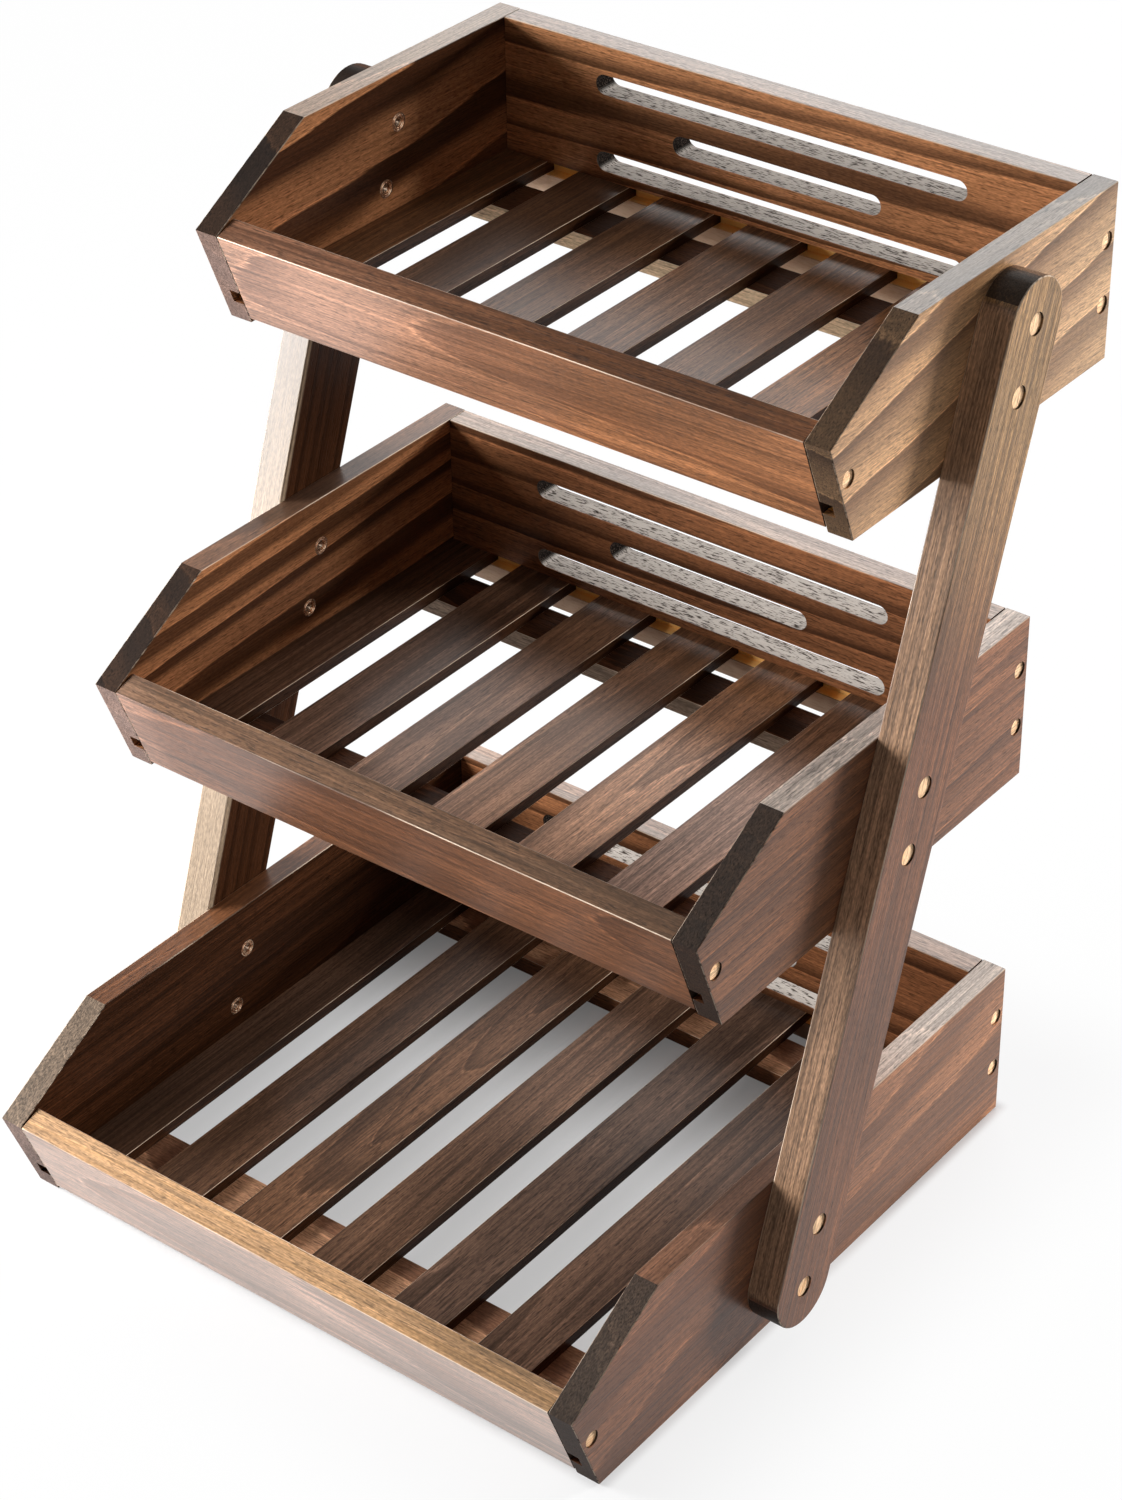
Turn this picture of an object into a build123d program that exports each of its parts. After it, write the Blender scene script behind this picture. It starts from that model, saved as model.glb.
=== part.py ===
from build123d import *
import os
from collections import namedtuple
from math import hypot, radians, tan

# A three-tier slatted fruit stand in stained pine.
# Millimetres, +Z up, +Y to the back, +X to the right of someone facing it.
# The origin is on the floor, in the middle of the footprint.

# Trays
tray_width = 320.0  # over the outer faces of the side panels
board_thickness = 12.0  # side panels, front boards and back boards
panel_height = 80.0
nose_height = 47.0  # foremost point of a side panel, above the tray's underside
nose_slope = 58.0  # level run of the sloping edge behind the nose
nose_undercut = 18.0  # from the nose back to the front of the underside
top_depth = 205.0
middle_depth = 240.0
bottom_depth = 322.0
middle_lift = 187.0  # undersides of the upper trays, above the floor
top_lift = 370.0
top_overhang = 47.0  # the top tray's back stands this far behind the lower backs
front_board_gap = 2.3  # from the front board's lower edge to the panels' underside, along its face
arris = 0.5  # rounding of the worked edges

# Slatted floor
slat_count = 7
slat_width = 28.5
slat_thickness = 6.0
slat_lift = 10.0  # underside of the slats, above the tray's underside
slat_arris = 0.3  # rounding of the edges of slats and rails
groove_depth = 6.0
groove_clearance = 0.2  # over the slats, in the height of the groove
slat_end_gap = 0.4  # between a slat and the bottom of its groove
rail_width = 25.0
rail_clearance = 1.0  # rails stay this far above the tray's underside
front_rail_setback = 16.0  # behind the front board, at the height of the slats
rear_rail_setback = 15.0  # in front of the back board
joint_gap = 0.4  # between a side panel and the end of a board or rail

# Slots of the back boards
slot_height = 9.5
long_slot = 193.0
short_slot = 109.0

# Legs
leg_thickness = 16.0
leg_width = 39.0
leg_lean = 19.6  # degrees from upright
leg_foot_setback = 181.0  # lowest bolt, in front of the bottom tray's back
bolt_low = 28.0  # the two bolts of each tray, above its underside
bolt_high = 56.0
leg_arris = 0.7

# Leg bolts and the nuts that they enter
bolt_diameter = 5.0
bolt_clearance = 0.5  # on the diameter of the plain holes
bolt_head_diameter = 8.5
bolt_head_height = 4.5
bolt_key = 4.0  # across the flats of the hexagon socket
bolt_key_depth = 2.5
bolt_head_clearance = 1.5  # on the diameter of the counterbore
bolt_counterbore_depth = 10.5
bolt_end_setback = 0.8  # bolt end behind the panel's inner face
nut_diameter = 8.6
nut_back_wall = 2.0  # wood left behind the nut
nut_mouth = 0.6  # chamfer of the threaded mouth

# Board screws
screw_diameter = 3.5
screw_length = 30.0
screw_tip = 4.0
screw_clearance = 0.5  # on the diameter of the plain holes
screw_head_diameter = 7.0
screw_head_height = 2.2
screw_drive_width = 1.0
screw_drive_length = 4.0
screw_drive_depth = 1.2
screw_head_clearance = 1.0  # on the diameter of the counterbore
screw_counterbore_depth = 6.5
rear_screw_low = 27.0  # heights above the tray's underside
rear_screw_high = 56.0
front_screw_height = 29.5

# Wood plugs over the bolts and screws
plug_recess = 0.9  # from the face of the leg or panel to the face of the plug
plug_relief = 0.8  # between a plug and the head behind it
plug_arris = 0.2

# Slat nails
nail_diameter = 1.4
nail_cover = 1.5  # wood left over the tip of a nail
nail_head_diameter = 2.8
nail_head_height = 0.7
drive_fit = 0.04  # on the diameter of a driven fastener's or a plug's hole

# Places worked out from the sizes above
outer_x = tray_width / 2
inner_x = outer_x - board_thickness
leg_outer_x = outer_x + leg_thickness
top_back = (bottom_depth + top_overhang) / 2
lower_back = top_back - top_overhang
floor_height = slat_lift + slat_thickness
rail_thickness = slat_lift - rail_clearance
front_length = hypot(nose_undercut, nose_height)
front_board_width = front_length - front_board_gap
front_up = Vector(0, -nose_undercut / front_length, nose_height / front_length)
front_in = Vector(0, nose_height / front_length, nose_undercut / front_length)
bolt_heights = (bolt_low, bolt_high)
rear_screw_heights = (rear_screw_low, rear_screw_high)
bolt_counterbore = bolt_head_diameter + bolt_head_clearance
bolt_seat_x = leg_outer_x - bolt_counterbore_depth
bolt_head_x = bolt_seat_x + bolt_head_height
nut_end_x = outer_x - nut_back_wall
screw_counterbore = screw_head_diameter + screw_head_clearance
screw_seat_x = outer_x - screw_counterbore_depth
screw_head_x = screw_seat_x + screw_head_height
screw_tip_x = screw_seat_x - screw_length
nail_length = rail_thickness + slat_thickness - nail_cover
slat_pitch = (2 * (inner_x + groove_depth - slat_end_gap) - slat_width) / (slat_count - 1)
slat_places = [(index - (slat_count - 1) / 2) * slat_pitch for index in range(slat_count)]
slot_lengths = (long_slot, short_slot, long_slot)  # upwards from the floor slats
slot_pitch = (panel_height - floor_height) / (len(slot_lengths) + 0.5)  # half of it below, one above

Tray = namedtuple("Tray", "name depth back base")
trays = (
    Tray("top", top_depth, top_back, top_lift),
    Tray("middle", middle_depth, lower_back, middle_lift),
    Tray("bottom", bottom_depth, lower_back, 0.0),
)


# Shared shapes
def block(x, y, z):
    """A box between pairs of places along X, Y and Z."""
    pairs = (x, y, z)
    middle = [(low + high) / 2 for low, high in pairs]
    size = [high - low for low, high in pairs]
    return Pos(*middle) * Box(*size)


def bar_x(diameter, x_from, x_to, y, z):
    """A round bar along X."""
    return Pos((x_from + x_to) / 2, y, z) * Rot(0, 90, 0) * Cylinder(diameter / 2, abs(x_to - x_from))


def bar_z(diameter, x, y, z_from, z_to):
    """A round bar along Z."""
    return Pos(x, y, (z_from + z_to) / 2) * Cylinder(diameter / 2, z_to - z_from)


def prism(outline, x_from, x_to):
    """A Y and Z outline, extruded along X."""
    face = Plane.YZ.offset(x_from) * make_face(Polyline(*outline, close=True))
    return extrude(face, x_to - x_from)


def eased(body, axis, radius):
    """The body with the edges of its two faces square to an axis rounded."""
    rims = body.faces().filter_by(axis).edges()
    return body.fillet(radius, rims)


# Places within a tray
def nose_y(tray):
    """The foremost point of the tray's side panels."""
    return tray.back - tray.depth


def front_board_top(tray):
    """The outer top edge of the front board, at the nose of the panels."""
    return Vector(0, nose_y(tray), tray.base + nose_height)


def front_board_point(tray, height, depth_in):
    """A point at a height above the underside, a distance in from the front board's outer face."""
    top = front_board_top(tray) + front_in * depth_in
    drop = (top.Z - tray.base - height) / front_up.Z
    return top - front_up * drop


def front_groove_end(tray):
    """The bottom of the front board's groove, where the slats end."""
    middle = slat_lift + slat_thickness / 2
    return front_board_point(tray, middle, board_thickness).Y - groove_depth


def back_face(tray):
    """The inner face of the back board."""
    return tray.back - board_thickness


def groove_band(tray):
    """The height of the floor groove."""
    low = tray.base + slat_lift
    return (low, low + slat_thickness + groove_clearance)


def rail_spans(tray):
    """The front to back places of the front rail and of the rear rail."""
    front = front_board_point(tray, slat_lift, board_thickness).Y + front_rail_setback
    rear = back_face(tray) - rear_rail_setback
    return {"front": (front, front + rail_width), "rear": (rear - rail_width, rear)}


def bolt_points(tray):
    """Where the two leg bolts cross the tray's panels: points on the leg's centre line."""
    foot = lower_back - leg_foot_setback
    heights = [tray.base + height for height in bolt_heights]
    return [(foot + (z - bolt_low) * tan(radians(leg_lean)), z) for z in heights]


def screw_points(tray):
    """Where the board screws cross the tray's panels: two at the back board, one at the front board."""
    rear = [(tray.back - board_thickness / 2, tray.base + height) for height in rear_screw_heights]
    front = front_board_point(tray, front_screw_height, board_thickness / 2)
    return rear + [(front.Y, front.Z)]


def nail_points(tray):
    """Where each slat crosses each rail."""
    lines = [sum(span) / 2 for span in rail_spans(tray).values()]
    return [(x, y) for x in slat_places for y in lines]


# Boards of a tray
def right_panel(tray):
    """The right side panel, grooved for the floor and bored for bolts and screws."""
    nose = nose_y(tray)
    top = tray.base + panel_height
    outline = [
        (tray.back, tray.base),
        (tray.back, top),
        (nose + nose_slope, top),
        (nose, tray.base + nose_height),
        (nose + nose_undercut, tray.base),
    ]
    panel = eased(prism(outline, inner_x, outer_x), Axis.X, arris)
    panel -= block((inner_x, inner_x + groove_depth), (nose, tray.back), groove_band(tray))
    for y, z in bolt_points(tray):
        panel -= bar_x(nut_diameter + drive_fit, inner_x, nut_end_x, y, z)
        panel -= bar_x(bolt_diameter + bolt_clearance, inner_x, outer_x, y, z)
    for y, z in screw_points(tray):
        panel -= bar_x(screw_counterbore, screw_seat_x, outer_x, y, z)
        panel -= bar_x(screw_diameter + screw_clearance, inner_x, outer_x, y, z)
    return panel


def with_screw_pilots(board, tray):
    """A board between the panels, bored at both ends for the screws that reach it."""
    for y, z in screw_points(tray):
        pilot = bar_x(screw_diameter + drive_fit, screw_tip_x, inner_x, y, z)
        board -= pilot + mirror(pilot, Plane.YZ)
    return board


def front_board(tray):
    """The leaning front board, its face flush with the undercut of the panels."""
    top = front_board_top(tray)
    foot = top - front_up * front_board_width
    inward = front_in * board_thickness
    outline = [(point.Y, point.Z) for point in (top, top + inward, foot + inward, foot)]
    half_length = inner_x - joint_gap
    board = prism(outline, -half_length, half_length)
    board = board.fillet(arris, board.edges().filter_by(Axis.X))
    groove = (front_groove_end(tray), front_board_point(tray, slat_lift, board_thickness + groove_depth).Y)
    board -= block((-inner_x, inner_x), groove, groove_band(tray))
    return with_screw_pilots(board, tray)


def back_board(tray):
    """The upright back board with its groove and its three round-ended slots."""
    half_length = inner_x - joint_gap
    face = back_face(tray)
    board = block((-half_length, half_length), (face, tray.back), (tray.base, tray.base + panel_height))
    board = board.fillet(arris, board.edges().filter_by(Axis.X))
    board -= block((-inner_x, inner_x), (face, face + groove_depth), groove_band(tray))
    for row, length in enumerate(slot_lengths):
        height = tray.base + floor_height + (row + 0.5) * slot_pitch
        opening = Plane.XZ.offset(-tray.back) * Pos(0, height) * SlotOverall(length, slot_height)
        board -= extrude(opening, board_thickness)
    return with_screw_pilots(board, tray)


def slat(tray, x):
    """One floor slat, its ends held in the grooves of the front and back boards."""
    front = front_groove_end(tray) + slat_end_gap
    rear = back_face(tray) + groove_depth - slat_end_gap
    low = tray.base + slat_lift
    body = block((x - slat_width / 2, x + slat_width / 2), (front, rear), (low, low + slat_thickness))
    body = body.fillet(slat_arris, body.edges().filter_by(Axis.Y))
    for nail_x, nail_y in nail_points(tray):
        if nail_x == x:
            body -= bar_z(nail_diameter + drive_fit, x, nail_y, low, tray.base + rail_clearance + nail_length)
    return body


def rail(tray, span):
    """A cross rail under the slats, bored for the nails."""
    half_length = inner_x - joint_gap
    low = tray.base + rail_clearance
    body = block((-half_length, half_length), span, (low, low + rail_thickness))
    body = body.fillet(slat_arris, body.edges().filter_by(Axis.X))
    for x, y in nail_points(tray):
        if span[0] < y < span[1]:
            body -= bar_z(nail_diameter + drive_fit, x, y, low, low + rail_thickness)
            body -= bar_z(nail_head_diameter + drive_fit, x, y, low, low + nail_head_height)
    return body


# Legs
def right_leg():
    """The right leg: a straight bar with round ends about its first and last bolts, leaning back."""
    points = [point for tray in trays for point in bolt_points(tray)]
    low = min(points, key=lambda point: point[1])
    high = max(points, key=lambda point: point[1])
    span = hypot(high[0] - low[0], high[1] - low[1])
    middle = ((low[0] + high[0]) / 2, (low[1] + high[1]) / 2)
    outline = Pos(*middle) * Rot(0, 0, 90 - leg_lean) * SlotCenterToCenter(span, leg_width)
    leg = extrude(Plane.YZ.offset(outer_x) * outline, leg_thickness)
    leg = eased(leg, Axis.X, leg_arris)
    for y, z in points:
        leg -= bar_x(bolt_diameter + bolt_clearance, outer_x, leg_outer_x, y, z)
        leg -= bar_x(bolt_counterbore, bolt_seat_x, leg_outer_x, y, z)
    return leg


# Fasteners
def leg_bolt(y, z):
    """A socket-head bolt from the outside of the right leg."""
    bolt = bar_x(bolt_diameter, inner_x + bolt_end_setback, bolt_seat_x, y, z)
    bolt += bar_x(bolt_head_diameter, bolt_seat_x, bolt_head_x, y, z)
    socket = Pos(y, z) * RegularPolygon(bolt_key / 2, 6, major_radius=False)
    return bolt - extrude(Plane.YZ.offset(bolt_head_x - bolt_key_depth) * socket, bolt_key_depth)


def insert_nut(y, z):
    """A threaded insert nut, flush with the inner face of the right panel."""
    nut = bar_x(nut_diameter, inner_x, nut_end_x, y, z)
    nut -= bar_x(bolt_diameter + drive_fit, inner_x, nut_end_x, y, z)
    mouth = nut.edges().filter_by(GeomType.CIRCLE).sort_by(Axis.X)[:2].sort_by(SortBy.LENGTH)[0]
    return nut.chamfer(nut_mouth, None, [mouth])


def board_screw(y, z):
    """A pan-head wood screw from the outside of the right panel."""
    shank_end = screw_tip_x + screw_tip
    screw = bar_x(screw_diameter, shank_end, screw_seat_x, y, z)
    tip = Cone(screw_diameter / 2, 0, screw_tip)
    screw += Pos(shank_end - screw_tip / 2, y, z) * Rot(0, -90, 0) * tip
    screw += bar_x(screw_head_diameter, screw_seat_x, screw_head_x, y, z)
    depth = (screw_head_x - screw_drive_depth, screw_head_x)
    long = screw_drive_length / 2
    short = screw_drive_width / 2
    screw -= block(depth, (y - long, y + long), (z - short, z + short))
    screw -= block(depth, (y - short, y + short), (z - long, z + long))
    return screw


def plug(bore, head_x, face_x, y, z):
    """A wood plug that closes a counterbore, a little below the face around it."""
    body = bar_x(bore - drive_fit, head_x + plug_relief, face_x - plug_recess, y, z)
    rim = body.edges().filter_by(GeomType.CIRCLE).sort_by(Axis.X)[-1]
    return body.fillet(plug_arris, [rim])


def bolt_plug(y, z):
    """The plug over a bolt, in the right leg."""
    return plug(bolt_counterbore, bolt_head_x, leg_outer_x, y, z)


def screw_plug(y, z):
    """The plug over a board screw, in the right panel."""
    return plug(screw_counterbore, screw_head_x, outer_x, y, z)


def slat_nail(x, y, tray):
    """A nail from below, through a rail into a slat."""
    low = tray.base + rail_clearance
    nail = bar_z(nail_diameter, x, y, low, low + nail_length)
    return nail + bar_z(nail_head_diameter, x, y, low, low + nail_head_height)


def both_sides(pieces):
    """Pieces of the right side with their mirror images, as one group of separate solids."""
    solids = [solid for piece in pieces for solid in piece.solids()]
    return Compound(solids + [mirror(solid, Plane.YZ) for solid in solids])


# The whole stand, node by node
nodes = {}
for tray in trays:
    panel = right_panel(tray)
    nodes[f"{tray.name}_right_panel"] = panel
    nodes[f"{tray.name}_left_panel"] = mirror(panel, Plane.YZ)
    nodes[f"{tray.name}_front_board"] = front_board(tray)
    nodes[f"{tray.name}_back_board"] = back_board(tray)
    for number, place in enumerate(slat_places, start=1):
        nodes[f"{tray.name}_slat_{number}"] = slat(tray, place)
    for side, span in rail_spans(tray).items():
        nodes[f"{tray.name}_{side}_rail"] = rail(tray, span)
    nodes[f"{tray.name}_board_screws"] = both_sides([board_screw(y, z) for y, z in screw_points(tray)])
    nodes[f"{tray.name}_leg_bolts"] = both_sides([leg_bolt(y, z) for y, z in bolt_points(tray)])
    nodes[f"{tray.name}_insert_nuts"] = both_sides([insert_nut(y, z) for y, z in bolt_points(tray)])
    nodes[f"{tray.name}_bolt_plugs"] = both_sides([bolt_plug(y, z) for y, z in bolt_points(tray)])
    nodes[f"{tray.name}_screw_plugs"] = both_sides([screw_plug(y, z) for y, z in screw_points(tray)])
    nails = [slat_nail(x, y, tray).solid() for x, y in nail_points(tray)]
    nodes[f"{tray.name}_slat_nails"] = Compound(nails)
leg = right_leg()
nodes["right_leg"] = leg
nodes["left_leg"] = mirror(leg, Plane.YZ)

os.makedirs("parts", exist_ok=True)
for name, shape in nodes.items():
    export_step(shape, f"parts/{name}.step")
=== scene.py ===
# %% [markdown]
# # A tiered fruit basket in stained pine
# Three slatted trays hang between two leaning legs, like three steps. Every board is pine,
# stained walnut brown and given a thin satin lacquer, so this lesson is mostly about wood.
# The boards come from the frame at their true size and place. They keep their shapes, and the
# script gives each of them its own piece of a tree: its own rings, fibres and stain.

# %% Load the frame
import math

import bmesh
import bpy
from mathutils import Matrix, Vector


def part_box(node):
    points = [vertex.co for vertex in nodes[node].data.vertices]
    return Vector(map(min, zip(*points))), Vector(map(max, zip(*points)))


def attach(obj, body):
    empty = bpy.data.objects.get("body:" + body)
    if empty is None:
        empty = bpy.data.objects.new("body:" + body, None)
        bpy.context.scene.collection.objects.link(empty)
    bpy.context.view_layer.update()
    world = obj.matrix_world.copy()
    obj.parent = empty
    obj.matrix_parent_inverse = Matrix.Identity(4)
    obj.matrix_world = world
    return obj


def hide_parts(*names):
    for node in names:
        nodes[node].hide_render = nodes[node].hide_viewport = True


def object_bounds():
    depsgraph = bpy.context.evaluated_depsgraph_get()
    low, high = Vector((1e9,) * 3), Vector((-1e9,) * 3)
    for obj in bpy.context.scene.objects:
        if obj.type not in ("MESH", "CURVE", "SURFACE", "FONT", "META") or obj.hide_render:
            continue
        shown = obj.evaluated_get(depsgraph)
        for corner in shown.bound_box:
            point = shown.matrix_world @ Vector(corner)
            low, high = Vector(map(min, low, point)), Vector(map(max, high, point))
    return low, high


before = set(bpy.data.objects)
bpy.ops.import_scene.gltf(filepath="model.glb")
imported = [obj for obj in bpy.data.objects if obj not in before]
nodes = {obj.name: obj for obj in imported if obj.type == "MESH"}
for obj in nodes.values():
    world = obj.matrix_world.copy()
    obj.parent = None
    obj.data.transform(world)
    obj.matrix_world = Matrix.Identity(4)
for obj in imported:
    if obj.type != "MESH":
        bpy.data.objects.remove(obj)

cad_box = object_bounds()
scene = bpy.context.scene
scene.view_settings.view_transform = "Standard"

TRAYS = ("top", "middle", "bottom")
SIDES = ("right", "left")
SLAT_COUNT = 7
MM = 0.001
print("boards and fasteners in the frame:", len(nodes))
print("size of the stand:", [round(high - low, 3) for low, high in zip(*cad_box)])

# %% [markdown]
# ## The camera
# The picture was taken from the front right and well above the stand, with a long lens, so
# that parallel boards stay nearly parallel. The camera could be aimed with a constraint, but a
# place, two angles and a small roll are plain numbers that anyone can read and change.

# %% Camera
CAMERA_PLACE = Vector((0.8123, -1.0123, 1.0754))
CAMERA_AZIMUTH = 38.25
CAMERA_ELEVATION = 33.74
CAMERA_ROLL = -0.85
CAMERA_LENS = 87.06
CAMERA_NEAR = 0.05

camera = bpy.data.objects.new("camera", bpy.data.cameras.new("camera"))
scene.collection.objects.link(camera)
camera.data.lens = CAMERA_LENS
camera.data.clip_start = CAMERA_NEAR
camera.matrix_world = (
    Matrix.Translation(CAMERA_PLACE)
    @ Matrix.Rotation(math.radians(CAMERA_AZIMUTH), 4, "Z")
    @ Matrix.Rotation(math.radians(90 - CAMERA_ELEVATION), 4, "X")
    @ Matrix.Rotation(math.radians(CAMERA_ROLL), 4, "Z")
)
scene.camera = camera
print("camera distance:", round(CAMERA_PLACE.length, 3))

# %% [markdown]
# ## Small helpers for node trees
# A material is a tree of nodes. Building it by hand takes three lines for each node: make it,
# set it, wire it. These helpers do all three at once, so that a formula reads as a formula.

# %% Node helpers
def add(tree, kind, inputs=(), **options):
    """Adds a node, sets its options, and sets or wires each of the given inputs."""
    node = tree.nodes.new(kind)
    for option, value in options.items():
        setattr(node, option, value)
    for key, value in dict(inputs).items():
        if isinstance(value, bpy.types.NodeSocket):
            tree.links.new(value, node.inputs[key])
        else:
            node.inputs[key].default_value = value
    return node


def calc(tree, operation, *values):
    """The result of a Math node."""
    return add(tree, "ShaderNodeMath", enumerate(values), operation=operation).outputs[0]


def product(tree, first, *others):
    """Several numbers multiplied, such as masks that have to hold together."""
    for other in others:
        first = calc(tree, "MULTIPLY", first, other)
    return first


def aim(tree, operation, *values):
    """The result of a Vector Math node, which is a number for a dot product or a length."""
    node = add(tree, "ShaderNodeVectorMath", enumerate(values), operation=operation)
    is_number = operation in ("DOT_PRODUCT", "LENGTH")
    return node.outputs["Value" if is_number else "Vector"]


def scaled(tree, vector, factor):
    """A vector made longer or shorter by the number of a socket."""
    return add(tree, "ShaderNodeVectorMath", {0: vector, "Scale": factor}, operation="SCALE").outputs[0]


def parts(tree, vector):
    """The three numbers of a vector."""
    return add(tree, "ShaderNodeSeparateXYZ", {0: vector}).outputs


print("helpers for sums and vectors ready")

# %% [markdown]
# ## Steps, mixes and noise
# Most of what a surface shows is one of three things: a smooth step from one value to another,
# a mix of two colours, or noise. A colour is easiest to choose as a screen shows it, while
# shaders reckon in light, so one helper translates.

# %% Pattern helpers
def ease(tree, value, low, high, start=0.0, stop=1.0):
    """A smooth step from start to stop, as the value goes from low to high."""
    inputs = {"Value": value, "From Min": low, "From Max": high, "To Min": start, "To Max": stop}
    return add(tree, "ShaderNodeMapRange", inputs, interpolation_type="SMOOTHSTEP").outputs[0]


def between(tree, value, low, high):
    """1 where the value lies between two limits, and 0 elsewhere."""
    return calc(tree, "COMPARE", value, (low + high) / 2, (high - low) / 2)


def mix(tree, factor, first, second, blend="MIX"):
    """Two colours mixed by a factor."""
    inputs = {0: factor, 6: first, 7: second}
    return add(tree, "ShaderNodeMix", inputs, data_type="RGBA", blend_type=blend).outputs[2]


def noise(tree, vector, detail, output="Fac"):
    """Smooth noise from 0 to 1, with features about one unit apart."""
    inputs = {"Vector": vector, "Scale": 1.0, "Detail": detail}
    return add(tree, "ShaderNodeTexNoise", inputs).outputs[output]


def paint(red, green, blue):
    """A colour as a screen shows it, from 0 to 255, in the linear form that shaders use."""
    def linear(level):
        share = level / 255
        return share / 12.92 if share <= 0.04045 else ((share + 0.055) / 1.055) ** 2.4
    return linear(red), linear(green), linear(blue), 1.0


print("middle grey in light:", round(paint(128, 128, 128)[0], 3))

# %% [markdown]
# ## Node groups
# What many materials share is built once, as a group with named inputs and outputs, and placed
# in each of them with its own values.

# %% Group helpers
def new_group(name, inputs, outputs):
    """An empty node group. Returns its tree, its input sockets and its output node."""
    tree = bpy.data.node_groups.new(name, "ShaderNodeTree")
    for in_out, sockets in (("INPUT", inputs), ("OUTPUT", outputs)):
        for label, kind in sockets.items():
            tree.interface.new_socket(label, in_out=in_out, socket_type="NodeSocket" + kind)
    return tree, tree.nodes.new("NodeGroupInput").outputs, tree.nodes.new("NodeGroupOutput")


def give(tree, end, **results):
    """Wires a group's results to its output node."""
    for label, socket in results.items():
        tree.links.new(socket, end.inputs[label])


def use(tree, group, inputs):
    """Places a node group in a tree and returns its outputs."""
    return add(tree, "ShaderNodeGroup", inputs, node_tree=group).outputs


print("helpers for groups ready")

# %% [markdown]
# ## A white floor
# The stand stands on a white floor with no edge in sight. The floor is lit like anything else,
# so it keeps the soft shadow. Seen by the camera, or in a reflection, some plain white is mixed
# in, which lifts the far floor to the same white without any more light on the wood. This painted
# white is weaker below the bottom tray, and weakest at its back, so the shadow there is partly
# painted and grows darker towards the back.

# %% Floor
FLOOR_HALF = 4.0
FLOOR_DROP = 0.2 * MM
FLOOR_COLOUR = (0.74, 0.74, 0.75, 1.0)
FRONT_MARGIN = 18 * MM
FOOTPRINT = Vector((
    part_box("bottom_right_panel")[1].x,
    -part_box("bottom_front_board")[0].y - FRONT_MARGIN,
    1.0,
))
GLOW_UNDER = 0.46
GLOW_DEEP = 0.1
GLOW_DIMS = (-10 * MM, 90 * MM)
GLOW_BESIDE = 0.8
GLOW_FAR = 0.98
GLOW_EDGE = 6 * MM
GLOW_REACH = 90 * MM


def seen_directly(tree):
    """1 for rays from the camera, and for those that a reflection or a clear piece sends on."""
    path = tree.nodes.new("ShaderNodeLightPath").outputs
    mirrored = calc(tree, "MAXIMUM", path["Is Glossy Ray"], path["Is Transmission Ray"])
    return calc(tree, "MAXIMUM", path["Is Camera Ray"], mirrored)


def floor_glow(tree):
    """The share of plain white at each point of the floor."""
    position = tree.nodes.new("ShaderNodeTexCoord").outputs["Object"]
    beyond = aim(tree, "SUBTRACT", aim(tree, "ABSOLUTE", position), FOOTPRINT)
    away = aim(tree, "LENGTH", aim(tree, "MAXIMUM", beyond, (0.0, 0.0, 0.0)))
    around = ease(tree, away, 0.0, GLOW_REACH, GLOW_BESIDE, GLOW_FAR)
    depth = parts(tree, position)[1]
    under = ease(tree, depth, *GLOW_DIMS, GLOW_UNDER, GLOW_DEEP)
    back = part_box("bottom_back_board")[1].y
    under = ease(tree, depth, back, back + GLOW_EDGE, under, around)
    return ease(tree, away, 0.0, GLOW_EDGE, under, around)


def make_floor():
    shape = bmesh.new()
    bmesh.ops.create_grid(shape, x_segments=1, y_segments=1, size=FLOOR_HALF)
    bmesh.ops.translate(shape, verts=shape.verts, vec=(0, 0, cad_box[0][2] - FLOOR_DROP))
    mesh = bpy.data.meshes.new("floor")
    shape.to_mesh(mesh)
    shape.free()
    material = bpy.data.materials.new("white_floor")
    material.use_nodes = True
    tree = material.node_tree
    tree.nodes.clear()
    lit = add(tree, "ShaderNodeBsdfDiffuse", {"Color": FLOOR_COLOUR}).outputs[0]
    white = add(tree, "ShaderNodeEmission", {"Strength": 1.0}).outputs[0]
    share = product(tree, seen_directly(tree), floor_glow(tree))
    both = add(tree, "ShaderNodeMixShader", {0: share, 1: lit, 2: white}).outputs[0]
    add(tree, "ShaderNodeOutputMaterial", {"Surface": both})
    mesh.materials.append(material)
    floor = bpy.data.objects.new("floor", mesh)
    scene.collection.objects.link(floor)


make_floor()
print("half the width and depth of the footprint:", [round(half, 3) for half in FOOTPRINT.xy])

# %% [markdown]
# ## The room
# To the camera, all that lies past the floor is white. A lacquer and a metal show what they
# mirror, so for them the world is a grey room with a white wall at the right and a white card
# above the front. As light on the wood it is only a weak, even fill.

# %% World
WHITE = (1.0, 1.0, 1.0, 1.0)
HORIZON_COLOUR = (0.2, 0.2, 0.2, 1.0)
CEILING_COLOUR = (0.10, 0.10, 0.10, 1.0)
CEILING_STARTS = (0.2, 0.6)
WALL_COLOUR = (0.9, 0.9, 0.9, 1.0)
WALL_STARTS = (0.75, 0.9)
CARD_DIRECTION = Vector((-0.05, -0.62, 0.79)).normalized()
CARD_STARTS = (0.35, 0.65)
WORLD_FILL = 0.12


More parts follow.
